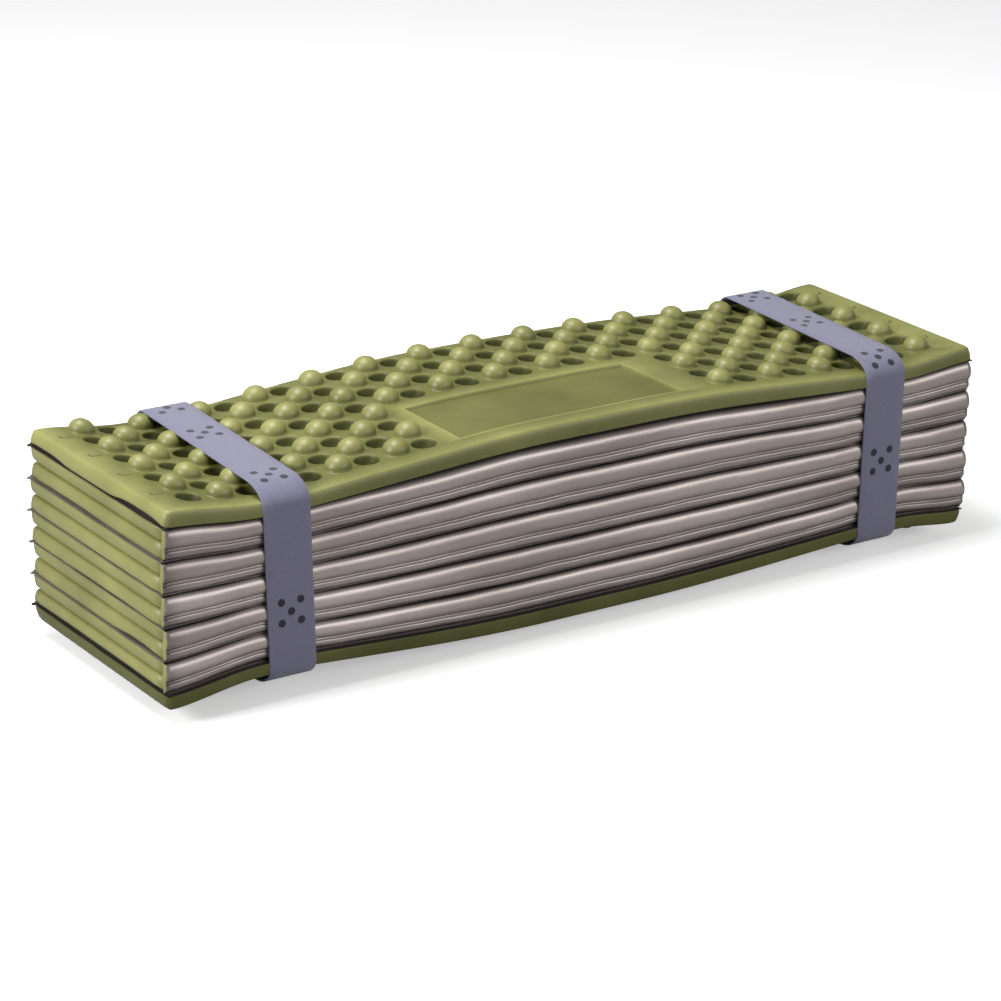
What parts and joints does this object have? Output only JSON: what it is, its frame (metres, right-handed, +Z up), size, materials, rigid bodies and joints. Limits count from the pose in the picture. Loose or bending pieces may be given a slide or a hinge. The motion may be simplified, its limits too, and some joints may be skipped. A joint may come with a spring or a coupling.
{
  "type": "foam sleeping pad",
  "caption": "Concertina-folding closed-cell foam sleeping mat with bumps and pits on one face and aluminised film on the other, held folded by elastic straps.",
  "frame": {"origin": "bottom centre of the folded, strapped mat: on the surface that its lowest bumps stand on", "axes": "+X along the panels' length, +Y from the front (silver folds) to the back, +Z up through the stack"},
  "size_m": [0.55, 0.1603, 0.133],
  "materials": {
    "foam": "matt moulded closed-cell foam, olive green",
    "film": "satin aluminised polyester film, warm silver grey",
    "webbing": "woven elastic webbing, grey lavender",
    "thread": "dark sewing thread"
  },
  "bodies": {
    "panel_12": {"foam_12": "foam", "film_12": "film"},
    "panel_11": {"foam_11": "foam", "film_11": "film"},
    "spine_10_11": {"spine_foam_10_11": "foam", "spine_film_10_11": "film"},
    "panel_10": {"foam_10": "foam", "film_10": "film"},
    "panel_09": {"foam_09": "foam", "film_09": "film"},
    "spine_08_09": {"spine_foam_08_09": "foam", "spine_film_08_09": "film"},
    "panel_08": {"foam_08": "foam", "film_08": "film"},
    "panel_07": {"foam_07": "foam", "film_07": "film"},
    "spine_06_07": {"spine_foam_06_07": "foam", "spine_film_06_07": "film"},
    "panel_06": {"foam_06": "foam", "film_06": "film"},
    "panel_05": {"foam_05": "foam", "film_05": "film"},
    "spine_04_05": {"spine_foam_04_05": "foam", "spine_film_04_05": "film"},
    "panel_04": {"foam_04": "foam", "film_04": "film"},
    "panel_03": {"foam_03": "foam", "film_03": "film"},
    "spine_02_03": {"spine_foam_02_03": "foam", "spine_film_02_03": "film"},
    "panel_02": {"foam_02": "foam", "film_02": "film"},
    "panel_01": {"foam_01": "foam", "film_01": "film"},
    "strap_left": {"strap_left": "webbing", "strap_left_lap": "webbing", "strap_left_tack": "thread"},
    "strap_right": {"strap_right": "webbing", "strap_right_lap": "webbing", "strap_right_tack": "thread"}
  },
  "joints": [
    {"name": "back_fold_11_12", "type": "hinge", "parent": "panel_12", "child": "panel_11", "pos_m": [0, 0.0775, 0.0181], "axis": [-1, 0, 0], "range_deg": [0, 180]},
    {"name": "front_fold_10_11", "type": "hinge", "parent": "panel_11", "child": "panel_10", "pos_m": [0, -0.0869, 0.0275], "axis": [1, 0, 0], "range_deg": [0, 180]},
    {"name": "front_strip_10_11", "type": "hinge", "parent": "panel_11", "child": "spine_10_11", "pos_m": [0, -0.0775, 0.0181], "axis": [1, 0, 0], "range_deg": [0, 90]},
    {"name": "back_fold_09_10", "type": "hinge", "parent": "panel_10", "child": "panel_09", "pos_m": [0, 0.0775, 0.0369], "axis": [-1, 0, 0], "range_deg": [0, 180]},
    {"name": "front_fold_08_09", "type": "hinge", "parent": "panel_09", "child": "panel_08", "pos_m": [0, -0.0869, 0.0463], "axis": [1, 0, 0], "range_deg": [0, 180]},
    {"name": "front_strip_08_09", "type": "hinge", "parent": "panel_09", "child": "spine_08_09", "pos_m": [0, -0.0775, 0.0369], "axis": [1, 0, 0], "range_deg": [0, 90]},
    {"name": "back_fold_07_08", "type": "hinge", "parent": "panel_08", "child": "panel_07", "pos_m": [0, 0.0775, 0.0557], "axis": [-1, 0, 0], "range_deg": [0, 180]},
    {"name": "front_fold_06_07", "type": "hinge", "parent": "panel_07", "child": "panel_06", "pos_m": [0, -0.0869, 0.0651], "axis": [1, 0, 0], "range_deg": [0, 180]},
    {"name": "front_strip_06_07", "type": "hinge", "parent": "panel_07", "child": "spine_06_07", "pos_m": [0, -0.0775, 0.0557], "axis": [1, 0, 0], "range_deg": [0, 90]},
    {"name": "back_fold_05_06", "type": "hinge", "parent": "panel_06", "child": "panel_05", "pos_m": [0, 0.0775, 0.0745], "axis": [-1, 0, 0], "range_deg": [0, 180]},
    {"name": "front_fold_04_05", "type": "hinge", "parent": "panel_05", "child": "panel_04", "pos_m": [0, -0.0869, 0.0839], "axis": [1, 0, 0], "range_deg": [0, 180]},
    {"name": "front_strip_04_05", "type": "hinge", "parent": "panel_05", "child": "spine_04_05", "pos_m": [0, -0.0775, 0.0745], "axis": [1, 0, 0], "range_deg": [0, 90]},
    {"name": "back_fold_03_04", "type": "hinge", "parent": "panel_04", "child": "panel_03", "pos_m": [0, 0.0775, 0.0933], "axis": [-1, 0, 0], "range_deg": [0, 180]},
    {"name": "front_fold_02_03", "type": "hinge", "parent": "panel_03", "child": "panel_02", "pos_m": [0, -0.0869, 0.1027], "axis": [1, 0, 0], "range_deg": [0, 180]},
    {"name": "front_strip_02_03", "type": "hinge", "parent": "panel_03", "child": "spine_02_03", "pos_m": [0, -0.0775, 0.0933], "axis": [1, 0, 0], "range_deg": [0, 90]},
    {"name": "back_fold_01_02", "type": "hinge", "parent": "panel_02", "child": "panel_01", "pos_m": [0, 0.0775, 0.1121], "axis": [-1, 0, 0], "range_deg": [0, 180]},
    {"name": "strap_left_pull", "type": "slide", "parent": "panel_12", "child": "strap_left", "axis": [-1, 0, 0], "range_m": [0, 0.12], "deforming": ["strap_left", "strap_left_lap", "strap_left_tack"]},
    {"name": "strap_right_pull", "type": "slide", "parent": "panel_12", "child": "strap_right", "axis": [1, 0, 0], "range_m": [0, 0.12], "deforming": ["strap_right", "strap_right_lap", "strap_right_tack"]}
  ],
  "couplings": [
    {"joint": "front_fold_10_11", "follows": "back_fold_11_12", "ratio": 1},
    {"joint": "front_strip_10_11", "follows": "back_fold_11_12", "ratio": 0.5},
    {"joint": "back_fold_09_10", "follows": "back_fold_11_12", "ratio": 1},
    {"joint": "front_fold_08_09", "follows": "back_fold_11_12", "ratio": 1},
    {"joint": "front_strip_08_09", "follows": "back_fold_11_12", "ratio": 0.5},
    {"joint": "back_fold_07_08", "follows": "back_fold_11_12", "ratio": 1},
    {"joint": "front_fold_06_07", "follows": "back_fold_11_12", "ratio": 1},
    {"joint": "front_strip_06_07", "follows": "back_fold_11_12", "ratio": 0.5},
    {"joint": "back_fold_05_06", "follows": "back_fold_11_12", "ratio": 1},
    {"joint": "front_fold_04_05", "follows": "back_fold_11_12", "ratio": 1},
    {"joint": "front_strip_04_05", "follows": "back_fold_11_12", "ratio": 0.5},
    {"joint": "back_fold_03_04", "follows": "back_fold_11_12", "ratio": 1},
    {"joint": "front_fold_02_03", "follows": "back_fold_11_12", "ratio": 1},
    {"joint": "front_strip_02_03", "follows": "back_fold_11_12", "ratio": 0.5},
    {"joint": "back_fold_01_02", "follows": "back_fold_11_12", "ratio": 1}
  ]
}
